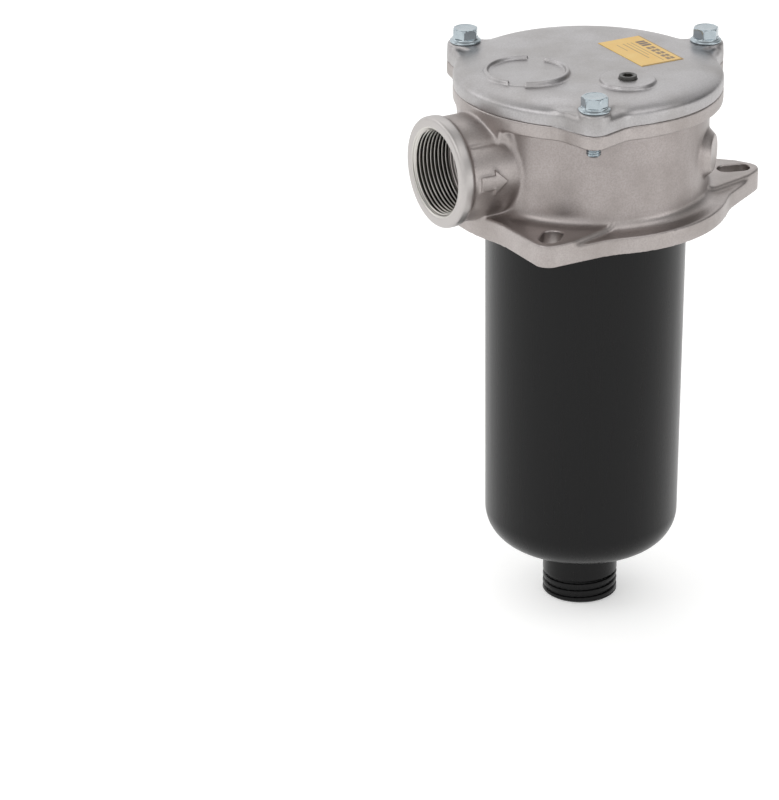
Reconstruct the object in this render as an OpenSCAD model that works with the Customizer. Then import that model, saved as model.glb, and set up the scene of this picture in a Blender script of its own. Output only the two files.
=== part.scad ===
// Tank-top return line filter: cast head, bolted cover, moulded bowl and a pleated element inside.
// Origin: centre of the flange's tank face. +Z points up through the cover, +X out of the inlet port.

/* [Head casting] */
// Height from the tank face to the cover joint
head_h = 69; // [66:1:76]
// Outside diameter of the round wall
wall_d = 131; // [129:1:134]
// Bore of the chamber inside the wall
chamber_d = 120; // [117:1:121]
// Diameter of the rim that carries the cover
rim_d = 145; // [142:1:150]
// Depth of that rim
rim_h = 8; // [6:0.5:10]
// Height of the coned underside that blends the rim into the wall
rim_cone_h = 11; // [6:1:14]
// Fillet between the wall and the lug pads
base_fillet_r = 4.5; // [2:0.5:6]
// Width of the step below that fillet, down to the flange between the lugs
base_step = 1.5; // [0.5:0.1:2.5]

/* [Tank flange] */
// Diameter of the round flange
flange_d = 154.4; // [152:0.2:160]
// Thickness of the flange between its lugs
flange_t = 9.5; // [8:0.5:11]
// Thickness of the flange on its lugs
lug_t = 12.5; // [11:0.5:14]
// Distance from the axis to the tip of a lug
lug_reach = 98; // [97:0.5:102]
// Tip radius of a lug
lug_tip_r = 8.5; // [7.5:0.5:10]
// Angle between a lug's flank and the tangent at its tip
lug_flank_a = 45; // [42:1:48]
// Concave fillet between a lug and the round flange
lug_fillet_r = 50; // [30:5:60]
// Half width of a raised lug pad where it meets the wall
pad_half_w = 28; // [22:1:32]
// Angle from the inlet port to the first lug
lug_angle = 45; // [44:1:50]
// Pitch circle through the middles of the three slots
slot_pcd = 168; // [166:0.5:170]
// Width of a slot
slot_w = 11; // [9:0.5:12]
// End-to-end length of a slot
slot_l = 18.4; // [15:0.2:19]
// Outside diameter of the register below the tank face
register_d = 129; // [126:0.5:132]
// Inside diameter of the register
register_bore_d = 119; // [117:0.5:121]
// Depth of the register below the tank face
register_h = 2.5; // [1.5:0.5:5]
// Land between the register and the seal's groove
register_land = 2.4; // [1.5:0.1:3]
// Cord diameter of the ring seal in the tank face
tank_cord_d = 4.2; // [3.6:0.1:4.6]
// How far that seal stands out of the face before it is bolted down
tank_seal_proud = 1; // [0.5:0.1:1.4]

/* [Inlet port] */
// Height of the port's axis above the tank face
port_z = 35.6; // [35:0.2:37]
// Distance from the axis to the mouth of the port
port_reach = 95.1; // [92:0.1:105]
// Diameter of the collar round the mouth
collar_d = 60.2; // [58:0.2:62]
// Length of that collar
collar_l = 7; // [5:0.5:10]
// Round on the collar's front edge
collar_round_r = 1.8; // [0.8:0.2:2.4]
// Diameter of the neck between collar and wall
neck_d = 57; // [54:0.5:57.5]
// Root diameter of the pipe thread
port_thread_d = 47.8; // [45:0.1:49]
// Length of the pipe thread
port_thread_l = 24; // [18:1:26]
// Bore behind the thread
port_bore_d = 43; // [38:0.5:44]
// Chamfer at the mouth
port_chamfer = 0.4; // [0.2:0.1:1.5]
// Half width of the saddle between the rim and the neck
saddle_half_w = 22; // [18:1:24]
// Depth of the saddle below the rim
saddle_h = 8; // [6:0.5:10]
// Height that the flow arrow stands out of the neck
arrow_h = 0.7; // [0.4:0.1:1.2]
// Length of the flow arrow
arrow_l = 15.8; // [12:0.2:17]
// Width of the flow arrow's head
arrow_w = 14; // [10:0.5:16]

/* [Gauge bosses] */
// Diameter of a boss's flat face
boss_face_d = 20; // [17:1:24]
// Distance from the axis to that face
boss_reach = 69.6; // [68.5:0.1:72]
// Draft of the boss, outwards for each millimetre towards the wall
boss_draft = 0.9; // [0.5:0.1:1]

/* [Cover] */
// Thickness of the cover at its bolt lugs
cover_rim_h = 11; // [10:0.5:13]
// Diameter of the raised middle of the cover
plateau_d = 126; // [118:1:128]
// Height of the raised middle above the bolt lugs
plateau_h = 1.2; // [0.8:0.1:2]
// Drop of the sloped shoulder from the raised middle to the cover's edge
shoulder_h = 3.2; // [2.2:0.1:4]
// Thickness of the cover's plate
cover_plate_t = 5.4; // [4.5:0.1:7]
// Round on the cover's edge
cover_edge_r = 3.5; // [1.5:0.5:4]
// Depth of the register that centres the cover in the chamber
cover_register_h = 3; // [2:0.5:5]
// Width of that register
cover_register_t = 4.5; // [3:0.5:6]
// Cord diameter of the ring seal under the cover
cover_cord_d = 2.8; // [2.4:0.1:3]
// Outside diameter of the ring boss over the port
ring_boss_d = 46.8; // [40:0.2:48]
// Width of that ring at its foot
ring_boss_w = 3; // [2:0.2:4]
// Height of that ring
ring_boss_h = 2.7; // [1.5:0.1:3.4]
// Height of the disc that fills the ring
ring_floor_h = 0.7; // [0.4:0.1:1.2]
// Width of the two gaps in the ring
ring_gap_w = 9; // [6:0.5:12]
// Diameter of the plug's boss
plug_boss_d = 29; // [24:0.5:32]
// Height of the plug's boss
plug_boss_h = 2.1; // [1:0.1:3]
// Distance of both bosses from the axis
boss_offset = 38.7; // [37:0.1:39.4]

/* [Cover bolts] */
// Pitch circle of the three cover bolts
bolt_pcd = 150.6; // [149:0.2:152]
// Thread diameter of a bolt
bolt_d = 8; // [6:0.5:8]
// Length of a bolt under its head
bolt_l = 25; // [23:1:30]
// Width across flats of a bolt's head
bolt_flats = 13; // [10:0.5:13]
// Height of a bolt's head with its flange
bolt_head_h = 8; // [6:0.5:9]
// Diameter of a bolt's flange
bolt_flange_d = 17.2; // [16:0.2:17.6]
// Tip radius of a bolt lug
bolt_lug_r = 8.6; // [8:0.1:9.5]
// Angle between a bolt lug's flank and the tangent at its tip
bolt_lug_a = 43; // [38:1:48]
// Concave fillet between a bolt lug and the rim
bolt_lug_fillet_r = 18; // [10:1:24]
// Clearance of a bolt in the cover, on the radius
bolt_clearance = 0.5; // [0.2:0.1:1]

/* [Gauge plug] */
// Diameter of the plug
plug_d = 9.6; // [8:0.1:10]
// Height that the plug stands out of its boss
plug_proud = 1.8; // [0.5:0.1:2.5]
// Width across flats of the plug's socket
plug_flats = 5; // [4:0.5:6]

/* [Label] */
// Length of the label
label_l = 44.8; // [36:0.2:48]
// Width of the label
label_w = 26.3; // [20:0.1:28]
// Distance from the axis to the label's middle
label_offset = 33.2; // [30:0.2:36]
// Turn of the label on the cover
label_turn = -1.2; // [-2:0.2:2]
// Thickness of the label
label_t = 0.3; // [0.1:0.1:0.6]

/* [Bowl] */
// Depth of the bowl's floor below the tank face
bowl_depth = 199; // [150:1:260]
// Diameter of the bowl at the head
bowl_top_d = 109.5; // [107:0.5:110]
// Diameter of the bowl above its corner
bowl_foot_d = 107.3; // [104:0.1:108]
// Wall of the bowl
bowl_t = 3; // [2.5:0.1:4]
// Corner radius of the bowl
bowl_corner_r = 20; // [12:1:24]
// Thickness of the lip that hangs the bowl in the head
bowl_lip_t = 4; // [3:0.5:6]
// Height of the ledge that carries the lip
ledge_z = 9.5; // [9:0.5:11]
// Diameter of the hole inside that ledge
ledge_hole_d = 113; // [112.5:0.1:113.5]
// Cord diameter of the ring seal under the lip
bowl_cord_d = 3; // [2.5:0.1:3.1]

/* [Outlet spigot] */
// Outside diameter of the spigot
spigot_d = 41.7; // [38:0.1:46]
// Length of the spigot below the bowl's floor
spigot_l = 33.2; // [30:0.2:45]
// Bore of the spigot
spigot_bore_d = 33; // [30:0.2:33.4]
// Wider bore above it that takes the element's nozzle
nozzle_seat_d = 34.6; // [34.2:0.2:35.4]
// Pitch of the coarse outlet thread
outlet_pitch = 4.15; // [3.6:0.05:4.8]
// Number of thread grooves
outlet_grooves = 3; // [2:1:4]
// Depth of a thread groove
outlet_groove_depth = 1; // [0.6:0.1:1.2]
// Distance from the spigot's end to the nearest groove
outlet_lead = 3.7; // [3:0.1:5]

/* [Filter element] */
// Outside diameter of the pleats
media_d = 83; // [76:1:86]
// Inside diameter of the pleats
media_bore_d = 48; // [46:1:56]
// Number of pleats
pleats = 48; // [36:1:64]
// Thickness of the folded sheet
media_t = 0.6; // [0.4:0.1:0.8]
// Diameter of the end caps
cap_d = 86.6; // [84:0.2:92]
// Thickness of an end cap's plate
cap_t = 3; // [2:0.5:4]
// Height of an end cap's rim
cap_rim_h = 5; // [3:0.5:8]
// Thickness of the support tube's wall
tube_t = 1; // [0.8:0.1:1.5]
// Height of the element's top above the tank face
element_top_z = 11; // [8:0.5:14]
// Bore of the outlet nozzle on the lower cap
nozzle_bore_d = 27; // [22:0.5:28]
// Length of that nozzle
nozzle_l = 17.5; // [16:0.5:19]
// Height of the foot that lifts the lower cap over the bowl's corner
foot_h = 5; // [4.5:0.5:8]
// Diameter of that foot
foot_d = 48; // [42:1:60]
// Cord diameter of the ring seal on the nozzle
nozzle_cord_d = 2; // [1.8:0.1:2.2]

/* [Bypass valve] */
// Bore of the valve seat
seat_d = 22; // [18:0.5:24]
// Diameter of the poppet's disc
poppet_d = 28; // [27:0.5:30]
// Thickness of that disc
poppet_t = 3; // [2:0.5:4]
// Diameter of the poppet's stem
stem_d = 6; // [5:0.5:7]
// Opening travel of the poppet
poppet_travel = 5; // [3:0.5:6]
// Inside diameter of the cage
cage_bore_d = 35; // [34:0.5:37]
// Wall of the cage
cage_t = 1.5; // [1:0.1:2]
// Inner height of the cage
cage_h = 29; // [26:1:34]
// Wire diameter of the bypass spring
bypass_wire_d = 1.2; // [1:0.1:1.6]
// Mean diameter of the bypass spring
bypass_spring_d = 17; // [14:0.5:20]
// Turns of the bypass spring
bypass_turns = 7; // [5:1:8]

/* [Hold-down spring] */
// Wire diameter of the hold-down spring
hold_wire_d = 2.5; // [2:0.1:3]
// Mean diameter of the hold-down spring
hold_spring_d = 36; // [34:0.5:40]
// Turns of the hold-down spring
hold_turns = 8; // [5:1:10]
// Height of the rings that centre the spring
guide_h = 4; // [2:0.5:6]
// Wall of those rings
guide_t = 2; // [1.5:0.5:3]

/* [Fits] */
// Gap between two seated pieces
seat_gap = 0.2; // [0.1:0.05:0.3]
// Radial clearance of a part that slides or is pushed in
fit_gap = 0.1; // [0.05:0.01:0.2]
// Radial clearance of a threaded piece in its hole
thread_gap = 0.05; // [0.02:0.01:0.1]

/* [Hidden] */
$fn = 96;
eps = 0.01;

cast_grey = [0.66, 0.63, 0.61];
cover_grey = [0.69, 0.68, 0.69];
zinc = [0.78, 0.83, 0.85];
black_plastic = [0.13, 0.13, 0.14];
rubber_black = [0.08, 0.08, 0.08];
label_amber = [0.91, 0.75, 0.43];
steel = [0.62, 0.63, 0.64];
media_cream = [0.86, 0.83, 0.74];

wall_r = wall_d / 2;
chamber_r = chamber_d / 2;
rim_r = rim_d / 2;
flange_r = flange_d / 2;
lug_dist = lug_reach - lug_tip_r;
lug_angles = [for (i = [0:2]) lug_angle + 120 * i];
bolt_angles = [60, 180, 300];
bolt_dist = bolt_pcd / 2;
bolt_lug_dist = bolt_dist + 1.7;
gauge_angles = [135, 225, 315];

joint_z = head_h;
lug_top_z = joint_z + cover_rim_h;
plateau_z = lug_top_z + plateau_h;
ceiling_z = plateau_z - cover_plate_t;
edge_z = plateau_z - shoulder_h;

tank_cord_r = tank_cord_d / 2;
tank_groove_depth = tank_cord_d - tank_seal_proud + fit_gap;
tank_seal_r = register_d / 2 + register_land + tank_cord_r + fit_gap;

cover_cord_r = cover_cord_d / 2;
cover_seal_r = (chamber_r + bolt_dist - bolt_d / 2) / 2;

bowl_cord_r = bowl_cord_d / 2;
bowl_seal_r = bowl_top_d / 2 + bowl_cord_r + seat_gap + fit_gap;
bowl_seat_d = 2 * (bowl_seal_r + bowl_cord_r + fit_gap);
bowl_seat_depth = bowl_cord_d + 2 * fit_gap;
bowl_lip_r = chamber_r - 5 * fit_gap;
floor_z = bowl_t - bowl_depth;
spigot_end_z = -bowl_depth - spigot_l;

cap_r = cap_d / 2;
foot_z = floor_z + seat_gap;
lower_cap_z = foot_z + foot_h;
media_z0 = lower_cap_z + cap_t;
media_z1 = element_top_z - cap_t;
nozzle_r = nozzle_seat_d / 2 - 4 * fit_gap;
nozzle_end_z = foot_z - nozzle_l;
nozzle_seal_z = foot_z - nozzle_l / 2;
nozzle_cord_r = nozzle_cord_d / 2;
nozzle_seal_r = nozzle_seat_d / 2 - fit_gap - nozzle_cord_r;
tube_r = media_bore_d / 2 - seat_gap;

cage_floor_z = media_z1 - cage_h;
poppet_top_z = media_z1 - seat_gap;
poppet_z = poppet_top_z - poppet_t;

// A lugged outline is described by [lug distance, tip radius, body radius, flank angle, fillet radius].
flange_form = [lug_dist, lug_tip_r, flange_r, lug_flank_a, lug_fillet_r];
rim_form = [bolt_lug_dist, bolt_lug_r, rim_r, bolt_lug_a, bolt_lug_fillet_r];

function flank_normal(form) = [sin(form[3]), cos(form[3])];

// Centre of the concave fillet that is tangent to the lug's flank and to the round body.
function fillet_centre(form) =
    let (n = flank_normal(form), s = form[0] * n.x + form[1] + form[4],
         t = -sqrt(pow(form[2] + form[4], 2) - s * s))
    s * n + t * [-n.y, n.x];

// Angles from the lug's middle at which its tip, its flank and its fillet end.
function form_angles(form) =
    let (n = flank_normal(form), c = fillet_centre(form), p = [form[0], 0] + form[1] * n, q = c - form[4] * n)
    [atan2(p.y, p.x), atan2(q.y, q.x), atan2(c.y, c.x)];

// Distance from the axis to the outline at an angle from the lug's middle.
function form_rho(form, angle) =
    let (a = abs(angle), u = [cos(a), sin(a)], n = flank_normal(form), ends = form_angles(form),
         c = fillet_centre(form))
    a < ends[0] ? form[0] * u.x + sqrt(pow(form[1], 2) - pow(form[0] * u.y, 2)) :
    a < ends[1] ? (form[0] * n.x + form[1]) / (n * u) :
    a < ends[2] ? c * u - sqrt(pow(form[4], 2) - c * c + pow(c * u, 2)) :
    form[2];

// Angles at which the outline is drawn, closest together round each lug's tip.
function form_steps(form) =
    let (reach = form_angles(form)[2])
    concat([for (i = [-16:15]) sign(i) * reach * pow(abs(i) / 16, 1.5)],
           [for (i = [0:18]) reach + (120 - 2 * reach) * i / 19]);

function form_points(form, lugs, inset) =
    [for (lug = lugs) for (a = form_steps(form))
        let (rho = form_rho(form, a > 60 ? 120 - a : a) - inset) rho * [cos(lug + a), sin(lug + a)]];

// Distance from the axis to the edge of the raised pads: the flank of each pad, or the wall's inside.
// Between the port and the first lug the full thickness runs out to the flange's edge.
function pad_rho(angle, from_port) =
    let (a = abs(angle), edge = form_rho(flange_form, a), tip = [lug_reach, lug_tip_r - 1],
         root = [wall_r - 5, pad_half_w], n = [root.y - tip.y, tip.x - root.x],
         flank = a < 70 ? (root * n) / (n * [cos(a), sin(a)]) : 0)
    from_port > 0 && from_port < lug_angle ? edge : max(wall_r - 3, min(edge, flank));

function pad_points() =
    [for (lug = lug_angles) for (a = form_steps(flange_form))
        let (rho = pad_rho(a > 60 ? 120 - a : a, (lug + a + 360) % 360)) rho * [cos(lug + a), sin(lug + a)]];

// Stacks outlines of equal point count into one solid; levels holds [inset, height] pairs.
module stack_outline(form, lugs, levels) {
    rings = [for (level = levels) [for (p = form_points(form, lugs, level[0])) [p.x, p.y, level[1]]]];
    count = len(rings[0]);
    top = len(levels) - 1;
    walls = [for (k = [0:top - 1]) for (i = [0:count - 1])
        let (j = (i + 1) % count) [k * count + i, (k + 1) * count + i, (k + 1) * count + j, k * count + j]];
    ends = [[for (i = [0:count - 1]) i], [for (i = [count - 1:-1:0]) top * count + i]];
    polyhedron([for (ring = rings) for (p = ring) p], concat(walls, ends));
}

module slot(height) {
    run = slot_l - slot_w;
    translate([slot_pcd / 2, 0, 0]) {
        translate([-run / 2, -slot_w / 2, 0]) cube([run, slot_w, height]);
        for (side = [-1, 1]) translate([side * run / 2, 0, 0]) cylinder(h = height, d = slot_w);
    }
}

// Round wall with its fillet at the height of the pads, the step below it and the cone under the rim.
module wall_profile_2d() {
    r = base_fillet_r;
    cone_z = joint_z - rim_h;
    fillet = [for (i = [0:6]) let (a = 264 - 14 * i) [wall_r + r + r * cos(a), lug_t + r + r * sin(a)]];
    polygon(concat([[0, 1], [wall_r + r + base_step, 1], [wall_r + r + base_step, flange_t - 0.2],
                    [wall_r + r, lug_t - 0.3]], fillet,
                   [[wall_r, cone_z - rim_cone_h], [rim_r - 0.4, cone_z], [rim_r - 0.4, cone_z + 2],
                    [0, cone_z + 2]]));
}

// Turns a profile of (radius, distance) points about the port's axis.
module about_port() {
    translate([0, 0, port_z]) rotate([0, 90, 0]) rotate_extrude() children();
}

module port_profile_2d() {
    r = collar_d / 2;
    x0 = port_reach - collar_l;
    e = collar_round_r;
    round = [for (i = [0:5]) let (a = 90 * i / 5) [r - e + e * cos(a), port_reach - e + e * sin(a)]];
    polygon(concat([[0, wall_r - 25], [neck_d / 2, wall_r - 25], [neck_d / 2, x0 - 1.2], [r - 0.6, x0],
                    [r, x0 + 1]], round, [[0, port_reach]]));
}

module port_hole_2d() {
    r = port_thread_d / 2;
    square([port_bore_d / 2, port_reach + 1]);
    translate([0, port_reach - port_thread_l]) square([r, port_thread_l + 1]);
    polygon([[0, port_reach - port_chamfer], [r, port_reach - port_chamfer],
             [r + port_chamfer + eps, port_reach + eps], [0, port_reach + eps]]);
}

module flow_arrow() {
    head_l = arrow_l * 0.46;
    shaft_w = arrow_w * 0.57;
    tip_x = wall_r + 2.2;
    intersection() {
        translate([0, 0, port_z]) rotate([0, 90, 0]) cylinder(h = port_reach, d = neck_d + 2 * arrow_h);
        translate([tip_x, neck_d, port_z]) rotate([90, 0, 0]) linear_extrude(neck_d)
            polygon([[0, 0], [head_l, arrow_w / 2], [head_l, shaft_w / 2], [arrow_l, shaft_w / 2],
                     [arrow_l, -shaft_w / 2], [head_l, -shaft_w / 2], [head_l, -arrow_w / 2]]);
    }
}

module gauge_boss(a) {
    root = wall_r - 6;
    rotate(a) translate([root, 0, port_z]) rotate([0, 90, 0])
        cylinder(h = boss_reach - root, r1 = boss_face_d / 2 + boss_draft * (boss_reach - root),
                 r2 = boss_face_d / 2);
}

module port_saddle() {
    top = joint_z - rim_h + 1;
    intersection() {
        cylinder(h = top, r = rim_r - 0.2);
        translate([wall_r - 12, -saddle_half_w, top - 1 - saddle_h])
            cube([rim_r, 2 * saddle_half_w, saddle_h + 1]);
    }
}

module head_housing() color(cast_grey) difference() {
    union() {
        linear_extrude(flange_t) polygon(form_points(flange_form, lug_angles, 0));
        translate([0, 0, flange_t]) linear_extrude(lug_t - flange_t) polygon(pad_points());
        rotate_extrude() wall_profile_2d();
        translate([0, 0, joint_z - rim_h]) linear_extrude(rim_h)
            polygon(form_points(rim_form, bolt_angles, 0));
        for (a = bolt_angles) rotate(a) translate([bolt_dist, 0, joint_z - rim_h - 3.5])
            cylinder(h = 4.5, r1 = bolt_lug_r - 2.4, r2 = bolt_lug_r + 0.4);
        about_port() port_profile_2d();
        port_saddle();
        for (a = gauge_angles) gauge_boss(a);
        flow_arrow();
        translate([0, 0, -register_h]) cylinder(h = register_h + 1, d = register_d);
    }
    translate([0, 0, ledge_z]) cylinder(h = joint_z, d = chamber_d);
    translate([0, 0, -register_h - 1]) cylinder(h = joint_z, d = ledge_hole_d);
    translate([0, 0, -register_h - 1]) cylinder(h = register_h + 4, d = register_bore_d);
    translate([0, 0, ledge_z - bowl_seat_depth]) cylinder(h = joint_z - ledge_z, d = bowl_seat_d);
    about_port() port_hole_2d();
    for (a = lug_angles) rotate(a) translate([0, 0, -1]) slot(lug_t + 2);
    for (a = bolt_angles) rotate(a) translate([bolt_dist, 0, joint_z - 20])
        cylinder(h = 21, r = bolt_d / 2 + thread_gap);
    ring_groove(tank_seal_r, tank_cord_r, -1, tank_groove_depth + 1);
    ring_groove(cover_seal_r, cover_cord_r, joint_z - 2 * cover_cord_r - fit_gap, 2 * cover_cord_r + 1);
}

module ring_groove(r, cord_r, z, depth) {
    translate([0, 0, z]) difference() {
        cylinder(h = depth, r = r + cord_r + fit_gap);
        translate([0, 0, -1]) cylinder(h = depth + 2, r = r - cord_r - fit_gap);
    }
}

module ring_seal(r, cord_r, z) {
    color(rubber_black) translate([0, 0, z]) rotate_extrude() translate([r, 0]) circle(cord_r);
}

module tank_seal() ring_seal(tank_seal_r, tank_cord_r, tank_cord_r - tank_seal_proud);
module cover_seal() ring_seal(cover_seal_r, cover_cord_r, joint_z - cover_cord_r - fit_gap / 2);
module bowl_seal() ring_seal(bowl_seal_r, bowl_cord_r, ledge_z - bowl_cord_r - fit_gap);
module nozzle_seal() ring_seal(nozzle_seal_r, nozzle_cord_r, nozzle_seal_z);

// Outside of the cover: lugged outline with a rounded upper edge.
module cover_outside() {
    e = cover_edge_r;
    stack_outline(rim_form, bolt_angles, concat([[0, joint_z]],
        [for (i = [0:5]) let (a = 90 * i / 5) [e - e * cos(a), edge_z - e + e * sin(a)]]));
}

// Raised middle and the shoulder that slopes from it to the edge.
module plateau() {
    r = plateau_d / 2;
    foot_r = max(rim_r - cover_edge_r, r + 1) - 0.1;
    rotate_extrude() polygon([[0, edge_z - 1], [foot_r, edge_z - 1], [foot_r, edge_z + 0.02],
        [r, plateau_z - 0.25], [r - 2, plateau_z], [0, plateau_z]]);
}

// Column of a bolt lug, which stands out of the shoulder up to the bolt's seat.
module bolt_lug() {
    r = bolt_lug_r - 0.2;
    root_x = plateau_d / 2 - 4;
    height = cover_rim_h - 1;
    translate([bolt_lug_dist, 0, 0]) {
        cylinder(h = height - 1, r = r);
        translate([0, 0, height - 1 - eps]) cylinder(h = 1 + eps, r1 = r, r2 = r - 0.8);
    }
    linear_extrude(height)
        polygon([[root_x, -r - 2.5], [bolt_lug_dist, 0.8 - r], [bolt_lug_dist, r - 0.8], [root_x, r + 2.5]]);
}

module ring_boss_2d() {
    r = ring_boss_d / 2;
    draft = ring_boss_w * 0.22;
    polygon([[0, -1], [r, -1], [r, 0], [r - draft, ring_boss_h * 0.8],
             [r - 2 * draft, ring_boss_h], [r - ring_boss_w + draft, ring_boss_h],
             [r - ring_boss_w, ring_floor_h], [0, ring_floor_h]]);
}

module cover() color(cover_grey) difference() {
    register_r = chamber_r - 4 * fit_gap;
    union() {
        difference() {
            union() {
                cover_outside();
                plateau();
                for (a = bolt_angles) rotate(a) translate([0, 0, joint_z + 1]) bolt_lug();
                translate([0, 0, joint_z - cover_register_h])
                    cylinder(h = cover_register_h + 1, r = register_r);
            }
            translate([0, 0, joint_z - cover_register_h - 1])
                cylinder(h = ceiling_z - joint_z + cover_register_h + 1, r = register_r - cover_register_t);
        }
        translate([boss_offset, 0, plateau_z]) difference() {
            rotate_extrude() ring_boss_2d();
            rotate(45) translate([-ring_boss_d / 2 - 1, -ring_gap_w / 2, ring_floor_h])
                cube([ring_boss_d + 2, ring_gap_w, ring_boss_h]);
        }
        translate([0, boss_offset, plateau_z - 1])
            cylinder(h = plug_boss_h + 1, d1 = plug_boss_d + 2, d2 = plug_boss_d);
        translate([0, boss_offset, ceiling_z - 2]) cylinder(h = 3, d = plug_boss_d * 0.7);
        translate([0, 0, ceiling_z - guide_h]) cylinder(h = guide_h + 1, d = spring_guide_d());
    }
    for (a = bolt_angles) rotate(a) translate([bolt_dist, 0, joint_z - 1])
        cylinder(h = cover_rim_h + 2, r = bolt_d / 2 + bolt_clearance);
    translate([0, boss_offset, ceiling_z - 4]) cylinder(h = 20, r = plug_d / 2 + thread_gap);
    translate([0, 0, ceiling_z - guide_h - 1]) cylinder(h = guide_h + 1, d = spring_guide_d() - 2 * guide_t);
}

function spring_guide_d() = hold_spring_d - hold_wire_d - 2 * seat_gap;

module cover_bolt(i) {
    head_z = bolt_head_h * 0.38;
    color(zinc) rotate(bolt_angles[i]) translate([bolt_dist, 0, lug_top_z]) {
        cylinder(h = 1.2, d = bolt_flange_d);
        translate([0, 0, 1.2])
            cylinder(h = head_z - 1.2 + eps, d1 = bolt_flange_d - 0.4, d2 = bolt_flats + 0.4);
        intersection() {
            rotate(15) cylinder(h = bolt_head_h, d = bolt_flats / cos(30), $fn = 6);
            cylinder(h = bolt_head_h, d1 = bolt_flats * 1.9, d2 = bolt_flats * 0.98);
        }
        translate([0, 0, 1 - bolt_l]) cylinder(h = bolt_l, d = bolt_d);
        translate([0, 0, -bolt_l]) cylinder(h = 1 + eps, d1 = bolt_d - 1.8, d2 = bolt_d);
    }
}

module cover_bolt_1() cover_bolt(0);
module cover_bolt_2() cover_bolt(1);
module cover_bolt_3() cover_bolt(2);

module gauge_plug() color(black_plastic) translate([0, boss_offset, plateau_z + plug_boss_h + plug_proud]) {
    length = plug_proud + plug_boss_h + cover_plate_t;
    difference() {
        translate([0, 0, -length]) union() {
            cylinder(h = length - 0.5, d = plug_d);
            translate([0, 0, length - 0.5 - eps]) cylinder(h = 0.5 + eps, d1 = plug_d, d2 = plug_d - 1.2);
        }
        translate([0, 0, -plug_flats * 0.8]) cylinder(h = plug_flats, d = plug_flats / cos(30), $fn = 6);
    }
}

module label() color(label_amber)
    translate([-label_offset, 0, plateau_z + label_t / 2]) rotate(label_turn)
        cube([label_w, label_l, label_t], center = true);

// Outside of the bowl as one closed outline from its axis.
module bowl_shell_2d(inset) {
    top = ledge_z + bowl_lip_t;
    foot_r = bowl_foot_d / 2 - inset;
    corner = bowl_corner_r - inset;
    z0 = inset - bowl_depth;
    polygon([[0, z0], [foot_r - corner, z0], [foot_r - corner, z0 + corner], [foot_r, z0 + corner],
             [bowl_top_d / 2 - inset, top], [0, top]]);
    intersection() {
        translate([foot_r - corner, z0 + corner]) circle(corner);
        translate([0, z0]) square([foot_r + 1, corner]);
    }
}

module outlet_groove_2d(z) {
    cut_r = outlet_pitch * 0.36;
    translate([spigot_d / 2 - outlet_groove_depth + cut_r, z]) circle(cut_r);
}

module bowl() color(black_plastic) difference() {
    rotate_extrude() difference() {
        union() {
            bowl_shell_2d(0);
            translate([0, ledge_z]) square([bowl_lip_r, bowl_lip_t]);
            translate([0, -bowl_depth - 5]) square([spigot_d / 2 + 2, 6]);
            translate([0, -bowl_depth - 2.5]) square([spigot_d / 2 + 5, 3.5]);
            translate([0, spigot_end_z + 1.2]) square([spigot_d / 2, spigot_l]);
            polygon([[0, spigot_end_z], [spigot_d / 2 - 1.4, spigot_end_z],
                     [spigot_d / 2, spigot_end_z + 1.2 + eps], [0, spigot_end_z + 1.2 + eps]]);
        }
        difference() {
            bowl_shell_2d(bowl_t);
            translate([0, -bowl_depth]) square([spigot_d / 2 + 5, bowl_t]);
        }
        translate([0, ledge_z + bowl_lip_t - eps]) square([bowl_lip_r, 1]);
        for (i = [0:outlet_grooves - 1]) outlet_groove_2d(spigot_end_z + outlet_lead + i * outlet_pitch);
    }
    translate([0, 0, spigot_end_z - 1]) cylinder(h = spigot_l + bowl_t + 2, d = spigot_bore_d);
    translate([0, 0, nozzle_end_z - 0.5]) cylinder(h = nozzle_l + bowl_t, d = nozzle_seat_d);
}

// Height of the wire's centre along a coil whose first and last turns lie flat.
function coil_z(t, turns, wire_d, height) =
    t < 1 ? t * wire_d :
    t > turns - 1 ? height - wire_d - (turns - t) * wire_d :
    wire_d + (height - 3 * wire_d) * (t - 1) / (turns - 2);

module coil(mean_d, wire_d, height, turns) {
    steps = 20;
    sides = 8;
    rings = turns * steps;
    points = [for (i = [0:rings]) for (k = [0:sides - 1])
        let (a = 360 * i / steps, b = 360 * k / sides, r = mean_d / 2 + wire_d / 2 * cos(b))
        [r * cos(a), r * sin(a), coil_z(i / steps, turns, wire_d, height) + wire_d / 2 * (1 + sin(b))]];
    walls = [for (i = [0:rings - 1]) for (k = [0:sides - 1])
        let (n = (k + 1) % sides) [i * sides + k, (i + 1) * sides + k, (i + 1) * sides + n, i * sides + n]];
    ends = [[for (k = [0:sides - 1]) k], [for (k = [sides - 1:-1:0]) rings * sides + k]];
    polyhedron(points, concat(walls, ends));
}

module hold_down_spring() color(steel) translate([0, 0, element_top_z + seat_gap])
    coil(hold_spring_d, hold_wire_d, ceiling_z - element_top_z - 2 * seat_gap, hold_turns);

module element_top_cap() color(steel) {
    difference() {
        union() {
            translate([0, 0, media_z1]) cylinder(h = cap_t, r = cap_r);
            translate([0, 0, element_top_z - cap_rim_h]) cylinder(h = cap_rim_h, r = cap_r);
            translate([0, 0, media_z1]) cylinder(h = cap_t + guide_h, d = spring_guide_d());
        }
        translate([0, 0, element_top_z - cap_rim_h - 1]) cylinder(h = cap_rim_h - cap_t + 1, r = cap_r - 1);
        translate([0, 0, media_z1 - 1]) cylinder(h = cap_t + 2, d = seat_d);
        translate([0, 0, element_top_z]) cylinder(h = guide_h + 1, d = spring_guide_d() - 2 * guide_t);
    }
}

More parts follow.
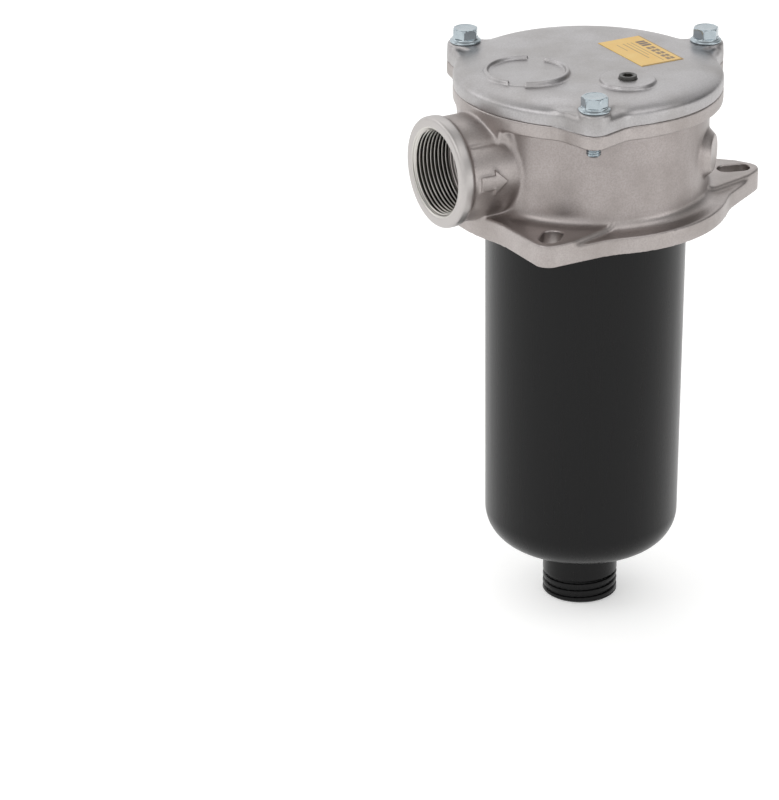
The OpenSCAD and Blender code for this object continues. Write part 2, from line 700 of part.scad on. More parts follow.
module bypass_cage() color(black_plastic) {
    r = cage_bore_d / 2;
    window_h = cage_h * 0.6;
    difference() {
        translate([0, 0, cage_floor_z - cap_t]) cylinder(h = cage_h + cap_t, r = r + cage_t);
        translate([0, 0, cage_floor_z]) cylinder(h = cage_h + 1, r = r);
        translate([0, 0, cage_floor_z - cap_t - 1]) cylinder(h = cap_t + 2, r = stem_d / 2 + fit_gap);
        for (a = [0, 90]) rotate(a) translate([0, 0, cage_floor_z + cage_h / 2])
            cube([4 * r, r * 0.85, window_h], center = true);
    }
}

module bypass_poppet() color(steel) {
    translate([0, 0, poppet_z]) cylinder(h = poppet_t, d = poppet_d);
    translate([0, 0, cage_floor_z - cap_t - 2])
        cylinder(h = poppet_z - cage_floor_z + cap_t + 2 + eps, d = stem_d);
    translate([0, 0, poppet_z - 1.5])
        cylinder(h = 1.5 + eps, d = bypass_spring_d - bypass_wire_d - 2 * seat_gap);
}

module bypass_spring() color(steel) translate([0, 0, cage_floor_z + seat_gap])
    coil(bypass_spring_d, bypass_wire_d, poppet_z - cage_floor_z - 2 * seat_gap, bypass_turns);

// Perforated tube that carries the pleats from inside.
module support_tube() color(steel) {
    rows = 10;
    row_h = (media_z1 - media_z0) / rows;
    difference() {
        translate([0, 0, media_z0]) cylinder(h = media_z1 - media_z0, r = tube_r);
        translate([0, 0, media_z0 - 1]) cylinder(h = media_z1 - media_z0 + 2, r = tube_r - tube_t);
        for (i = [0:rows - 1]) for (k = [0:3])
            translate([0, 0, media_z0 + (i + 0.5) * row_h]) rotate([0, 90, 45 * k + 22.5 * (i % 2)])
                cylinder(h = 3 * tube_r, d = 8, center = true);
    }
}

// One folded sheet: its two faces are zigzags that the sheet's thickness keeps apart.
module pleated_media() color(media_cream) {
    r0 = media_bore_d / 2;
    r1 = media_d / 2;
    half_fold = atan((r0 + r1) / 2 * PI / pleats / (r1 - r0));
    lap = media_t / sin(half_fold);
    outer = [for (i = [0:2 * pleats - 1]) let (a = 180 * i / pleats, r = i % 2 == 0 ? r1 : r0 + lap)
        [r * cos(a), r * sin(a)]];
    inner = [for (i = [0:2 * pleats - 1]) let (a = 180 * i / pleats, r = i % 2 == 0 ? r1 - lap : r0)
        [r * cos(a), r * sin(a)]];
    translate([0, 0, media_z0]) linear_extrude(media_z1 - media_z0) difference() {
        polygon(outer);
        polygon(inner);
    }
}

module element_bottom_cap() color(steel) difference() {
    union() {
        translate([0, 0, lower_cap_z]) cylinder(h = cap_rim_h, r = cap_r);
        translate([0, 0, foot_z]) cylinder(h = foot_h + 1, d = foot_d);
        translate([0, 0, nozzle_end_z]) cylinder(h = nozzle_l + 1, r = nozzle_r);
    }
    translate([0, 0, media_z0]) cylinder(h = cap_rim_h, r = cap_r - 1);
    translate([0, 0, nozzle_end_z - 1])
        cylinder(h = nozzle_l + foot_h + cap_rim_h + 2, d = nozzle_bore_d);
    translate([0, 0, nozzle_seal_z - nozzle_cord_r - fit_gap]) difference() {
        cylinder(h = nozzle_cord_d + 2 * fit_gap, r = nozzle_r + 1);
        cylinder(h = nozzle_cord_d + 2 * fit_gap, r = nozzle_seal_r - nozzle_cord_r - fit_gap);
    }
}

head_housing();
tank_seal();
cover();
cover_seal();
cover_bolt_1();
cover_bolt_2();
cover_bolt_3();
gauge_plug();
label();
bowl();
bowl_seal();
hold_down_spring();
element_top_cap();
bypass_cage();
bypass_poppet();
bypass_spring();
support_tube();
pleated_media();
element_bottom_cap();
nozzle_seal();
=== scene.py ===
"""Looks of a tank-top return line filter: cast head and cover, moulded bowl, bolts, seals and element.

Sizes are in millimetres; the constant MM turns them into Blender's metres.
"""
import math

import bmesh
import bpy
import numpy as np
from mathutils import Matrix, Vector


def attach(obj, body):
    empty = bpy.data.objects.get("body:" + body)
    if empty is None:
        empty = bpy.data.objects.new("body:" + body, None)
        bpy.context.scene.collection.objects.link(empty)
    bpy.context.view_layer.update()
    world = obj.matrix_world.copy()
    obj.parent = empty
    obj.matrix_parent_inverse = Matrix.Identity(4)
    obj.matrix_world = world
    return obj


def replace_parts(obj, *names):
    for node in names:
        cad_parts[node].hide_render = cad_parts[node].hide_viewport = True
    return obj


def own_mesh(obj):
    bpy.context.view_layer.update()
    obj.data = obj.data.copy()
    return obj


MM = 0.001
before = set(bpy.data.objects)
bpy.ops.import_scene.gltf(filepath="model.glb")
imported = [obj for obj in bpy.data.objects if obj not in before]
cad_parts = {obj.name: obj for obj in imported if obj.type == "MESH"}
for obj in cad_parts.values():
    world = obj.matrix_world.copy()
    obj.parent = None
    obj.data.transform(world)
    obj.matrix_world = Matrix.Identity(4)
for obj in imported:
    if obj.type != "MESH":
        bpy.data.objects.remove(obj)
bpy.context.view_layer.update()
scene = bpy.context.scene
scene.view_settings.view_transform = "Standard"

# Sizes that the looks share with the solids.
PORT_Z = 35.6
PORT_REACH = 95.1
NECK_R = 28.5
JOINT_Z = 69.0
LUG_TOP_Z = 80.0
PLATEAU_Z = 81.2
EDGE_Z = 74.5
COVER_R = 72.5
COVER_EDGE_ROUND = 3.5
BOLT_CIRCLE_R = 75.3
BOLT_ANGLES = (60, 180, 300)
BOLT_TURNS = (-9, 15, 24)
LUG_ANGLES = (45, 165, 285)
GAUGE_ANGLES = (135, 225, 315)
BOSS_OFFSET = 38.7
SLOT_CIRCLE_R = 84.0
WALL_R = 65.5
RING_BOSS_R = 23.4
BOWL_BOTTOM_Z = -199.0
SPIGOT_END_Z = -232.2

# Camera at the photograph's viewpoint.
CAMERA_PITCH = 23.742
CAMERA_ROLL = -0.278
CAMERA_YAW = 3.131
OBJECT_TURN = 212.7
CAMERA_BACK = 1959.841
CAMERA_UP = 744.908
FOCAL_PIXELS = 3856.095
LONG_SIDE_PIXELS = 800


def photo_camera():
    """A camera with the photograph's place, direction and lens, turned into the object's frame."""
    pitch, roll, yaw = (math.radians(a) for a in (CAMERA_PITCH, CAMERA_ROLL, CAMERA_YAW))
    right = Vector((math.cos(yaw), math.sin(yaw), 0))
    ahead = Vector((-math.sin(yaw) * math.cos(pitch), math.cos(yaw) * math.cos(pitch), -math.sin(pitch)))
    up = right.cross(ahead)
    right, up = (math.cos(roll) * right + math.sin(roll) * up,
                 math.cos(roll) * up - math.sin(roll) * right)
    turn = Matrix.Rotation(-math.radians(OBJECT_TURN), 3, "Z")
    axes = Matrix((turn @ right, turn @ up, turn @ -ahead)).transposed()
    place = turn @ Vector((0, -CAMERA_BACK, CAMERA_UP))
    data = bpy.data.cameras.new("photo_camera")
    data.sensor_width = 36
    data.lens = data.sensor_width * FOCAL_PIXELS / LONG_SIDE_PIXELS
    data.clip_start, data.clip_end = 0.05, 60
    camera = bpy.data.objects.new("photo_camera", data)
    camera.matrix_world = Matrix.Translation(place * MM) @ axes.to_4x4()
    scene.collection.objects.link(camera)
    scene.camera = camera
    return axes


camera_axes = photo_camera()


# Materials.
def shade(code):
    """An sRGB hex colour as linear RGBA."""
    parts = [int(code[i:i + 2], 16) / 255 for i in (1, 3, 5)]
    return tuple(p / 12.92 if p <= 0.04045 else ((p + 0.055) / 1.055) ** 2.4 for p in parts) + (1.0,)


def add(tree, kind, settings=None, **inputs):
    """Adds a node: settings are its properties, inputs its sockets, each a value or another socket.

    A socket is named by its name, or by its number as in _6 where names repeat.
    """
    node = tree.nodes.new("ShaderNode" + kind)
    for key, value in (settings or {}).items():
        setattr(node, key, value)
    for key, value in inputs.items():
        socket = node.inputs[int(key[1:]) if key[1:].isdigit() else key.replace("_", " ")]
        if isinstance(value, bpy.types.NodeSocket):
            tree.links.new(value, socket)
        else:
            socket.default_value = value
    return node


def blend(tree, share, first, second, mode="MIX"):
    """A colour between two others, each an sRGB hex code or a socket, by the share of the second."""
    first, second = (shade(c) if isinstance(c, str) else c for c in (first, second))
    mix = add(tree, "Mix", {"data_type": "RGBA", "blend_type": mode}, _0=share, _6=first, _7=second)
    return mix.outputs[2]


def new_finish(name, colour, metallic, roughness, **sockets):
    """A material with one surface shader and the object's own coordinates."""
    material = bpy.data.materials.new(name)
    material.use_nodes = True
    tree = material.node_tree
    tree.nodes.clear()
    surface = add(tree, "BsdfPrincipled", Base_Color=shade(colour), Metallic=metallic,
                  Roughness=roughness, **sockets)
    add(tree, "OutputMaterial", Surface=surface.outputs[0])
    place = add(tree, "TexCoord").outputs["Object"]
    return material, tree, surface, place


def cast_aluminium(name, light, dark, stain, machined=()):
    """Die-cast aluminium, bead-blasted: a grey metal that scatters light, with a fine grain of dimples.

    Blasting leaves dimples of 0.1 to 0.2 mm. They are drawn 0.9 mm wide here so that they show.
    Handling and release agent leave warmer, darker clouds some 20 mm across. An attribute marks the wall under
    the rim, which is painted a shade darker: painted shade for the rim's overhang. machined lists the
    faces cut after casting, each as an axis and a height in mm beyond which the metal is bright and smooth.
    """
    material, tree, surface, place = new_finish(name, light, 1.0, 0.45)
    clouds = add(tree, "TexNoise", Vector=place, Scale=1 / (24 * MM), Detail=3.0, Roughness=0.55)
    spread = add(tree, "MapRange", Value=clouds.outputs[0], From_Min=0.38, From_Max=0.68)
    grain = add(tree, "TexNoise", Vector=place, Scale=1 / (0.9 * MM), Detail=2.0, Roughness=0.6)
    cloudy = blend(tree, spread.outputs[0], light, stain)
    speckle = add(tree, "MapRange", Value=grain.outputs[0], From_Min=0.35, From_Max=0.7, To_Max=0.5)
    grainy = blend(tree, speckle.outputs[0], cloudy, dark)
    painted_rim_shade = add(tree, "Attribute", {"attribute_name": "painted_rim_shade"})
    # Painted shade: the marked wall under the rim is multiplied a shade darker, for the shadow under the rim's
    # overhang.
    skin = blend(tree, painted_rim_shade.outputs["Fac"], grainy, "#F1F0F0", "MULTIPLY")
    gloss = add(tree, "MapRange", Value=clouds.outputs[0], From_Min=0.3, From_Max=0.7,
                To_Min=0.34, To_Max=0.42).outputs[0]
    bump = add(tree, "Bump", Strength=0.22, Distance=0.12 * MM, Height=grain.outputs[0])
    apart = add(tree, "SeparateXYZ", Vector=place)
    for axis, height in machined:
        side = 1 if height > 0 else -1
        past = add(tree, "Math", {"operation": "MULTIPLY_ADD"}, _0=apart.outputs[axis],
                   _1=side / (0.05 * MM), _2=-abs(height) / 0.05)
        share = add(tree, "Clamp", Value=past.outputs[0]).outputs[0]
        skin = blend(tree, share, skin, "#B6B2B0")
        gloss = add(tree, "Mix", _0=share, _2=gloss, _3=0.38).outputs[0]
    tree.links.new(skin, surface.inputs["Base Color"])
    tree.links.new(gloss, surface.inputs["Roughness"])
    tree.links.new(bump.outputs[0], surface.inputs["Normal"])
    return material


def turned_aluminium():
    """Aluminium turned on a lathe: brighter and smoother than the cast skin, with rings 0.35 mm apart."""
    material, tree, surface, place = new_finish("turned_aluminium", "#C9C6C2", 1.0, 0.28)
    rings = add(tree, "TexWave", {"wave_type": "BANDS", "bands_direction": "X"}, Vector=place,
                Scale=1 / (7 * MM), Distortion=0.6, Detail=2.0)
    rough = add(tree, "MapRange", Value=rings.outputs["Fac"], To_Min=0.22, To_Max=0.36)
    bump = add(tree, "Bump", Strength=0.15, Distance=0.05 * MM, Height=rings.outputs["Fac"])
    tree.links.new(rough.outputs[0], surface.inputs["Roughness"])
    tree.links.new(bump.outputs[0], surface.inputs["Normal"])
    return material


def cut_thread():
    """A machined thread, in its light metal colour on the crests and painted dark in the grooves as painted
    shade.
    """
    material, tree, surface, place = new_finish("cut_thread", "#C2BEBA", 1.0, 0.3)
    painted_thread_light = add(tree, "Attribute", {"attribute_name": "painted_thread_light"})
    # Painted shade: the grooves are painted dark, and the crests keep the metal's light colour.
    colour = blend(tree, painted_thread_light.outputs["Fac"], "#5B5753", "#C4C1BC")
    tree.links.new(colour, surface.inputs["Base Color"])
    return material


def zinc_plated_steel():
    """Cold-headed steel with bright zinc plate, passivated blue: a clean metal with a faint cold cast."""
    material, tree, surface, place = new_finish("zinc_plated_steel", "#C3CED2", 1.0, 0.16)
    bloom = add(tree, "TexNoise", Vector=place, Scale=1 / (3.5 * MM), Detail=4.0, Roughness=0.6)
    colour = blend(tree, bloom.outputs[0], "#B6BEC2", "#99A5AC")
    rough = add(tree, "MapRange", Value=bloom.outputs[0], From_Min=0.3, From_Max=0.7,
                To_Min=0.12, To_Max=0.2)
    bump = add(tree, "Bump", Strength=0.03, Distance=0.05 * MM, Height=bloom.outputs[0])
    tree.links.new(colour, surface.inputs["Base Color"])
    tree.links.new(rough.outputs[0], surface.inputs["Roughness"])
    tree.links.new(bump.outputs[0], surface.inputs["Normal"])
    return material


def moulded_nylon(name, colour, roughness, streaks, gloss):
    """Glass-filled nylon from a polished mould: near black, satin, with faint flow lines down the draw.

    The glass gives a grain of about 0.3 mm, drawn 0.8 mm wide so that it shows.
    """
    material, tree, surface, place = new_finish(name, colour, 0.0, roughness, IOR=1.53)
    surface.inputs["Specular IOR Level"].default_value = gloss
    long_place = add(tree, "Mapping", {"vector_type": "POINT"}, Vector=place, Scale=(1.0, 1.0, 0.06))
    flow = add(tree, "TexNoise", Vector=long_place.outputs[0], Scale=1 / (7 * MM),
               Detail=3.0, Roughness=0.5)
    glass = add(tree, "TexNoise", Vector=place, Scale=1 / (0.8 * MM), Detail=2.0, Roughness=0.6)
    rough = add(tree, "MapRange", Value=flow.outputs[0], From_Min=0.3, From_Max=0.7,
                To_Min=roughness - streaks, To_Max=roughness + streaks)
    bump = add(tree, "Bump", Strength=0.1, Distance=0.06 * MM, Height=glass.outputs[0])
    tree.links.new(rough.outputs[0], surface.inputs["Roughness"])
    tree.links.new(bump.outputs[0], surface.inputs["Normal"])
    return material


def nitrile_rubber():
    """Moulded nitrile rubber: deep black and dull, with a trace of talc."""
    material, tree, surface, place = new_finish("nitrile_rubber", "#17181A", 0.0, 0.62, IOR=1.52)
    talc = add(tree, "TexNoise", Vector=place, Scale=1 / (2.5 * MM), Detail=4.0, Roughness=0.7)
    dust = add(tree, "MapRange", Value=talc.outputs[0], From_Min=0.55, From_Max=0.8, To_Max=0.35)
    colour = blend(tree, dust.outputs[0], "#151618", "#3A3B3D")
    tree.links.new(colour, surface.inputs["Base Color"])
    return material


def printed_foil():
    """Printed polyester foil: an amber ground with grey-brown ink, under a thin gloss lacquer."""
    material, tree, surface, place = new_finish("printed_foil", "#E0B25E", 0.0, 0.34, IOR=1.5)
    ink = add(tree, "Attribute", {"attribute_name": "ink"})
    fade = add(tree, "TexNoise", Vector=place, Scale=1 / (9 * MM), Detail=2.0)
    ground = blend(tree, fade.outputs[0], "#DBAB46", "#E0BE6C")
    colour = blend(tree, ink.outputs["Fac"], ground, "#453232")
    tree.links.new(colour, surface.inputs["Base Color"])
    return material


def plain_steel(name, light, dark, roughness, grain):
    """Drawn or pressed steel: a satin metal whose drawing marks run finer than a millimetre."""
    material, tree, surface, place = new_finish(name, light, 1.0, roughness)
    marks = add(tree, "TexNoise", Vector=place, Scale=1 / (grain * MM), Detail=3.0, Roughness=0.6)
    colour = blend(tree, marks.outputs[0], light, dark)
    bump = add(tree, "Bump", Strength=0.1, Distance=0.05 * MM, Height=marks.outputs[0])
    tree.links.new(colour, surface.inputs["Base Color"])
    tree.links.new(bump.outputs[0], surface.inputs["Normal"])
    return material


def filter_paper():
    """Resin-soaked cellulose filter paper: cream, dull and fibrous, with fibres about 1 mm long."""
    material, tree, surface, place = new_finish("filter_paper", "#DCD3B8", 0.0, 0.9, IOR=1.45)
    fibre = add(tree, "TexNoise", Vector=place, Scale=1 / (1.0 * MM), Detail=5.0, Roughness=0.7)
    colour = blend(tree, fibre.outputs[0], "#E6DFC8", "#BFB390")
    bump = add(tree, "Bump", Strength=0.3, Distance=0.1 * MM, Height=fibre.outputs[0])
    tree.links.new(colour, surface.inputs["Base Color"])
    tree.links.new(bump.outputs[0], surface.inputs["Normal"])
    return material


HEAD_FINISH = cast_aluminium("bead_blasted_head", "#B0A9A7", "#918B88", "#A19A97",
                             [("X", 88.3), ("Z", -0.3)])
COVER_FINISH = cast_aluminium("bead_blasted_cover", "#B3B1B2", "#969393", "#A7A4A3")
TURNED_FINISH = turned_aluminium()
THREAD_FINISH = cut_thread()
ZINC_FINISH = zinc_plated_steel()
BOWL_FINISH = moulded_nylon("glass_filled_nylon", "#09090A", 0.28, 0.03, 0.2)
PLUG_FINISH = moulded_nylon("plug_nylon", "#2E2C29", 0.34, 0.02, 0.7)
RUBBER_FINISH = nitrile_rubber()
LABEL_FINISH = printed_foil()
SHEET_FINISH = plain_steel("tinned_sheet_steel", "#B9BABA", "#9EA0A1", 0.3, 2.0)
WIRE_FINISH = plain_steel("drawn_spring_wire", "#A8A9AA", "#858789", 0.28, 0.8)
PAPER_FINISH = filter_paper()

NODE_FINISH = {
    "head_housing": HEAD_FINISH, "cover": COVER_FINISH, "bowl": BOWL_FINISH, "label": LABEL_FINISH,
    "cover_bolt_1": ZINC_FINISH, "cover_bolt_2": ZINC_FINISH, "cover_bolt_3": ZINC_FINISH,
    "gauge_plug": PLUG_FINISH, "bypass_cage": PLUG_FINISH, "tank_seal": RUBBER_FINISH,
    "cover_seal": RUBBER_FINISH, "bowl_seal": RUBBER_FINISH, "nozzle_seal": RUBBER_FINISH,
    "hold_down_spring": WIRE_FINISH, "bypass_spring": WIRE_FINISH, "bypass_poppet": SHEET_FINISH,
    "support_tube": SHEET_FINISH, "element_top_cap": SHEET_FINISH, "element_bottom_cap": SHEET_FINISH,
    "pleated_media": PAPER_FINISH,
}
for node_name, finish in NODE_FINISH.items():
    for material_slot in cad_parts[node_name].material_slots:
        material_slot.material = finish


# Shapes.
def mesh_of(name, points, faces, sharp=None):
    """A mesh from points in millimetres, with its faces turned outward.

    Where sharp is given, it is smooth except along edges that turn more than that many degrees.
    """
    mesh = bpy.data.meshes.new(name)
    corners = (np.asarray(points, float) * MM).tolist()
    mesh.from_pydata(corners, [], [tuple(int(i) for i in f) for f in faces])
    work = bmesh.new()
    work.from_mesh(mesh)
    bmesh.ops.recalc_face_normals(work, faces=work.faces)
    if sharp is not None:
        limit = math.radians(sharp)
        for face in work.faces:
            face.smooth = True
        for edge in work.edges:
            edge.smooth = len(edge.link_faces) != 2 or edge.calc_face_angle(0) < limit
    work.to_mesh(mesh)
    work.free()
    return mesh


def place_in_scene(name, mesh):
    """An object in the scene that shows the mesh."""
    made = bpy.data.objects.new(name, mesh)
    scene.collection.objects.link(made)
    return made


def piece(name, points, faces, finish, body="filter", sharp=40):
    """A piece of the filter, from points in millimetres, that rides on a body."""
    mesh = mesh_of(name, points, faces, sharp)
    mesh.materials.append(finish)
    made = place_in_scene(name, mesh)
    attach(made, body)
    return made


def mark_points(mesh, name, values):
    """Gives each point of a mesh a number that its finish reads."""
    mark = mesh.attributes.new(name, "FLOAT", "POINT")
    mark.data.foreach_set("value", values.astype(np.float32))


def skin_faces(rows, columns, loop=False):
    """Faces between rows of points that each close on themselves, capped at both ends unless looped."""
    faces = []
    for i in range(rows if loop else rows - 1):
        for k in range(columns):
            a, b = i * columns, (i + 1) % rows * columns
            faces.append((a + k, a + (k + 1) % columns, b + (k + 1) % columns, b + k))
    if not loop:
        faces.append(range(columns - 1, -1, -1))
        faces.append(range((rows - 1) * columns, rows * columns))
    return faces


def eased(corners, steps=5):
    """A line through (radius, height, rounding) corners, each rounded off with a few points."""
    line = []
    for i, (r, z, ease) in enumerate(corners):
        here = Vector((r, z))
        if not ease or i in (0, len(corners) - 1):
            line.append((r, z))
            continue
        to_last = Vector(corners[i - 1][:2]) - here
        to_next = Vector(corners[i + 1][:2]) - here
        reach = min(ease, to_last.length * 0.49, to_next.length * 0.49)
        a, b = here + to_last.normalized() * reach, here + to_next.normalized() * reach
        for k in range(steps + 1):
            t = k / steps
            line.append(tuple((1 - t) ** 2 * a + 2 * t * (1 - t) * here + t * t * b))
    return line


def turned(name, line, finish, columns, shape, turn=None, loop=False, sharp=40):
    """Turns a (radius, height) line about the vertical axis.

    shape(radius, angle, height) alters the radius, and turn is a matrix that puts the result in place.
    """
    angle = np.linspace(0, 2 * math.pi, columns, endpoint=False)
    radius = np.array([p[0] for p in line])[:, None] + 0 * angle
    height = np.array([p[1] for p in line])[:, None] + 0 * angle
    radius = shape(radius, angle[None, :] + 0 * radius, height)
    points = np.stack([radius * np.cos(angle), radius * np.sin(angle), height], -1).reshape(-1, 3)
    if turn is not None:
        points = np.array([turn @ Vector(p) for p in points])
    return piece(name, points, skin_faces(len(line), columns, loop), finish, sharp=sharp)


def soft_step(t):
    """0 up to 0 and 1 from 1 on, with a soft rise between."""
    t = np.clip(t, 0, 1)
    return t * t * (3 - 2 * t)


def whitworth(phase):
    """Height of a rounded 55-degree thread between its root at 0 and its crest at 1."""
    ramp = 1 - np.abs(2 * (phase - np.floor(phase)) - 1)
    return soft_step((ramp - 0.5) * 1.5 + 0.5)


def ring_block(outline, first, last, steps):
    """A block swept round the axis along a closed (radius, height) outline.

    first and last give the angles where it starts and ends, for each radius and height.
    """
    points = []
    for t in np.linspace(0, 1, steps):
        for r, z in outline:
            a = first(r, z) + t * (last(r, z) - first(r, z))
            points.append((r * math.cos(a), r * math.sin(a), z))
    return place_in_scene("block", mesh_of("block", points, skin_faces(steps, len(outline))))


def cast_skin(node, voxel, passes, softness, finish, blocks=(), ease_form=None):
    """A casting's skin: the solid redrawn in small even faces, then eased so that its edges come out round.

    softness(points) gives how far each point is eased, from 0 on machined edges to 1 on cast ones.
    blocks are cut off before the solid is redrawn, and ease_form(points) then moves points to a new form.
    """
    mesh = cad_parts[node].data.copy()
    work = bmesh.new()
    work.from_mesh(mesh)
    bmesh.ops.remove_doubles(work, verts=work.verts, dist=0.001 * MM)
    work.to_mesh(mesh)
    work.free()
    made = place_in_scene(node + "_skin", mesh)
    for block in blocks:
        cut = made.modifiers.new("cut", "BOOLEAN")
        cut.operation, cut.solver, cut.object = "DIFFERENCE", "EXACT", block
    redraw = made.modifiers.new("redraw", "REMESH")
    redraw.mode = "VOXEL"
    redraw.voxel_size = voxel * MM
    redraw.use_smooth_shade = True
    bpy.context.view_layer.update()
    fine = bpy.data.meshes.new_from_object(made.evaluated_get(bpy.context.evaluated_depsgraph_get()))
    made.modifiers.clear()
    made.data = fine
    for block in blocks:
        bpy.data.objects.remove(block)
    count = len(fine.vertices)
    points = np.empty(count * 3)
    fine.vertices.foreach_get("co", points)
    points = points.reshape(-1, 3) / MM
    ends = np.empty(len(fine.edges) * 2, dtype=np.int64)
    fine.edges.foreach_get("vertices", ends)
    a, b = ends.reshape(-1, 2).T
    links = np.maximum(np.bincount(a, minlength=count) + np.bincount(b, minlength=count), 1)[:, None]
    share = softness(points)[:, None]
    if ease_form:
        points = ease_form(points)
    for step in range(passes):
        around = np.stack([np.bincount(a, points[b, k], count) + np.bincount(b, points[a, k], count)
                           for k in range(3)], 1) / links
        points += (around - points) * 0.5 * np.clip(share * passes - step, 0, 1)
    fine.vertices.foreach_set("co", (points * MM).ravel())
    fine.update()
    from_axis, height = np.hypot(points[:, 0], points[:, 1]), points[:, 2]
    # Painted shade: 1 on the wall between flange and rim, which the finish paints a shade darker.
    painted_rim_shade = np.clip(68 - from_axis, 0, 1) * np.clip(height - 14, 0, 1)
    painted_rim_shade *= np.clip(JOINT_Z - 6 - height, 0, 1)
    mark_points(fine, "painted_rim_shade", painted_rim_shade)
    fine.materials.clear()
    fine.materials.append(finish)
    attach(made, "filter")
    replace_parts(made, node)
    return made


def near(value, middle, width):
    """1 at the middle, falling to 0 over the width on either side."""
    return np.clip(1 - np.abs(value - middle) / width, 0, 1)


def head_softness(p):
    """Cast faces of the head are eased, machined ones hardly, and the neck's root most of all."""
    x, y, z = p.T
    share = np.full(len(p), 0.12)
    root = near(np.hypot(x, y), 67, 9) * (x > 0) * (np.abs(y) < 40) * (z > 6) * (z < 56)
    share = np.maximum(share, root * 0.2)
    for angle in GAUGE_ANGLES:
        a = math.radians(angle)
        from_boss = np.hypot(y * math.cos(a) - x * math.sin(a), z - PORT_Z)
        on_side = x * math.cos(a) + y * math.sin(a) > 0
        share[(from_boss < 16) & on_side] = 0.05
    share[(x > 80) & (z < 66)] = 0.05
    from_port = np.hypot(y, z - PORT_Z)
    share[(from_port < 25.2) & (x > 62)] = 0.03
    for angle in LUG_ANGLES:
        a = math.radians(angle)
        from_slot = np.hypot(x - SLOT_CIRCLE_R * math.cos(a), y - SLOT_CIRCLE_R * math.sin(a))
        share[(from_slot < 10.5) & (z < 20)] = 0.025
    share[(z > JOINT_Z - 0.9) | (z < 0.9)] = 0.05
    return share


def neck_half(z):
    """Half width of the port's neck at a height, with a little room round it."""
    return math.sqrt(max(29.0 ** 2 - (PORT_Z - z) ** 2, 0))


def pad_flank(r):
    """Angle between a lug's middle and the flank of its pad, at a radius."""
    return math.radians(61.34) - math.acos(min(1, 53.59 / r))


def head_cuts():
    """Blocks to cut off the head.

    The rim gets a flat underside, and between the pads the fillet at the wall's foot reaches the flange.
    """
    underside_z, cone_foot_z, outer_r, fillet = 61.0, 49.6, 86.0, 1.8
    arc = [(WALL_R + fillet - fillet * math.cos(t), underside_z - fillet + fillet * math.sin(t))
           for t in np.linspace(0, math.pi / 2, 5)]
    below_rim = [(WALL_R, cone_foot_z)] + arc + [(outer_r, underside_z), (outer_r, cone_foot_z)]

    def beside_port(r, z):
        return math.asin(max(22.3, neck_half(z)) / r)

    cuts = [ring_block(below_rim, beside_port, lambda r, z: 2 * math.pi - beside_port(r, z), 200)]
    flange_z, step_z, outer_r, fillet = 9.52, 17.2, 73.0, 5.5
    arc = [(WALL_R + fillet - fillet * math.cos(t), flange_z + fillet - fillet * math.sin(t))
           for t in np.linspace(0, math.pi / 2, 9)]
    on_flange = [(WALL_R, step_z)] + arc + [(outer_r, flange_z), (outer_r, step_z)]
    for angle in LUG_ANGLES:
        start = math.radians(angle)
        stop = start + math.radians(120)

        def end(r, z, stop=stop):
            if stop > 2 * math.pi:
                return 2 * math.pi - math.asin(neck_half(z) / r)
            return stop - pad_flank(r)

        cuts.append(ring_block(on_flange, lambda r, z, start=start: start + pad_flank(r), end, 80))
    return cuts


def neck_crease(p):
    """A shallow crease along either side of the neck, as where two parts of a mould meet."""
    x, y, z = p.T
    angle = np.degrees(np.arctan2(z - PORT_Z, np.abs(y)))
    from_axis = np.hypot(y, z - PORT_Z)
    band = near(angle, 42, 3.5) * (np.abs(from_axis - NECK_R) < 1) * (x > 64) * np.clip((88 - x) / 4, 0, 1)
    scale = 1 - 0.7 * band / np.maximum(from_axis, 1)
    return np.stack([x, y * scale, PORT_Z + (z - PORT_Z) * scale], 1)


def smooth_shoulder(p):
    """The cover falls off to its edge in one soft bow, away from its bolt lugs and its ring boss."""
    x, y, z = p.T
    r = np.hypot(x, y)
    from_bolt = np.min([np.hypot(x - BOLT_CIRCLE_R * math.cos(math.radians(a)),
                                 y - BOLT_CIRCLE_R * math.sin(math.radians(a))) for a in BOLT_ANGLES], 0)
    round_r, bow_r = COVER_R - COVER_EDGE_ROUND, 53.0
    past = np.clip((r - round_r) / COVER_EDGE_ROUND, 0, 1)
    slope = np.interp(r, [61, 63, round_r], [PLATEAU_Z, PLATEAU_Z - 0.25, EDGE_Z + COVER_EDGE_ROUND])
    solid = np.where(r > round_r, EDGE_Z + COVER_EDGE_ROUND * np.sqrt(1 - past ** 2), slope)
    along = np.clip((r - bow_r) / (COVER_R - bow_r), 0, 1)
    bow = EDGE_Z + (PLATEAU_Z - EDGE_Z) * np.sqrt(1 - along ** 2)
    share = np.clip((from_bolt - 9.0) / 6.0, 0, 1) * np.clip((z - EDGE_Z) / 0.5, 0, 1)
    share *= np.clip((np.hypot(x - BOSS_OFFSET, y) - RING_BOSS_R) / 5.0, 0, 1)
    return p + np.stack([0 * r, 0 * r, (bow - solid) * share], 1)


def cover_softness(p):
    """The cover is cast all over but for its joint face and its holes."""
    x, y, z = p.T
    share = 0.25 + 0.75 * near(np.hypot(x, y), 64, 8) * (z > 76)
    share[np.hypot(x - BOSS_OFFSET, y) < 25.5] = 0.02
    share[np.hypot(x, y - BOSS_OFFSET) < 17.5] = 0.02
    share[z < JOINT_Z + 0.6] = 0.08
    return share


cast_skin("head_housing", 0.62, 100, head_softness, HEAD_FINISH,
          head_cuts(), neck_crease)
cast_skin("cover", 0.5, 60, cover_softness, COVER_FINISH,
          ease_form=smooth_shoulder)


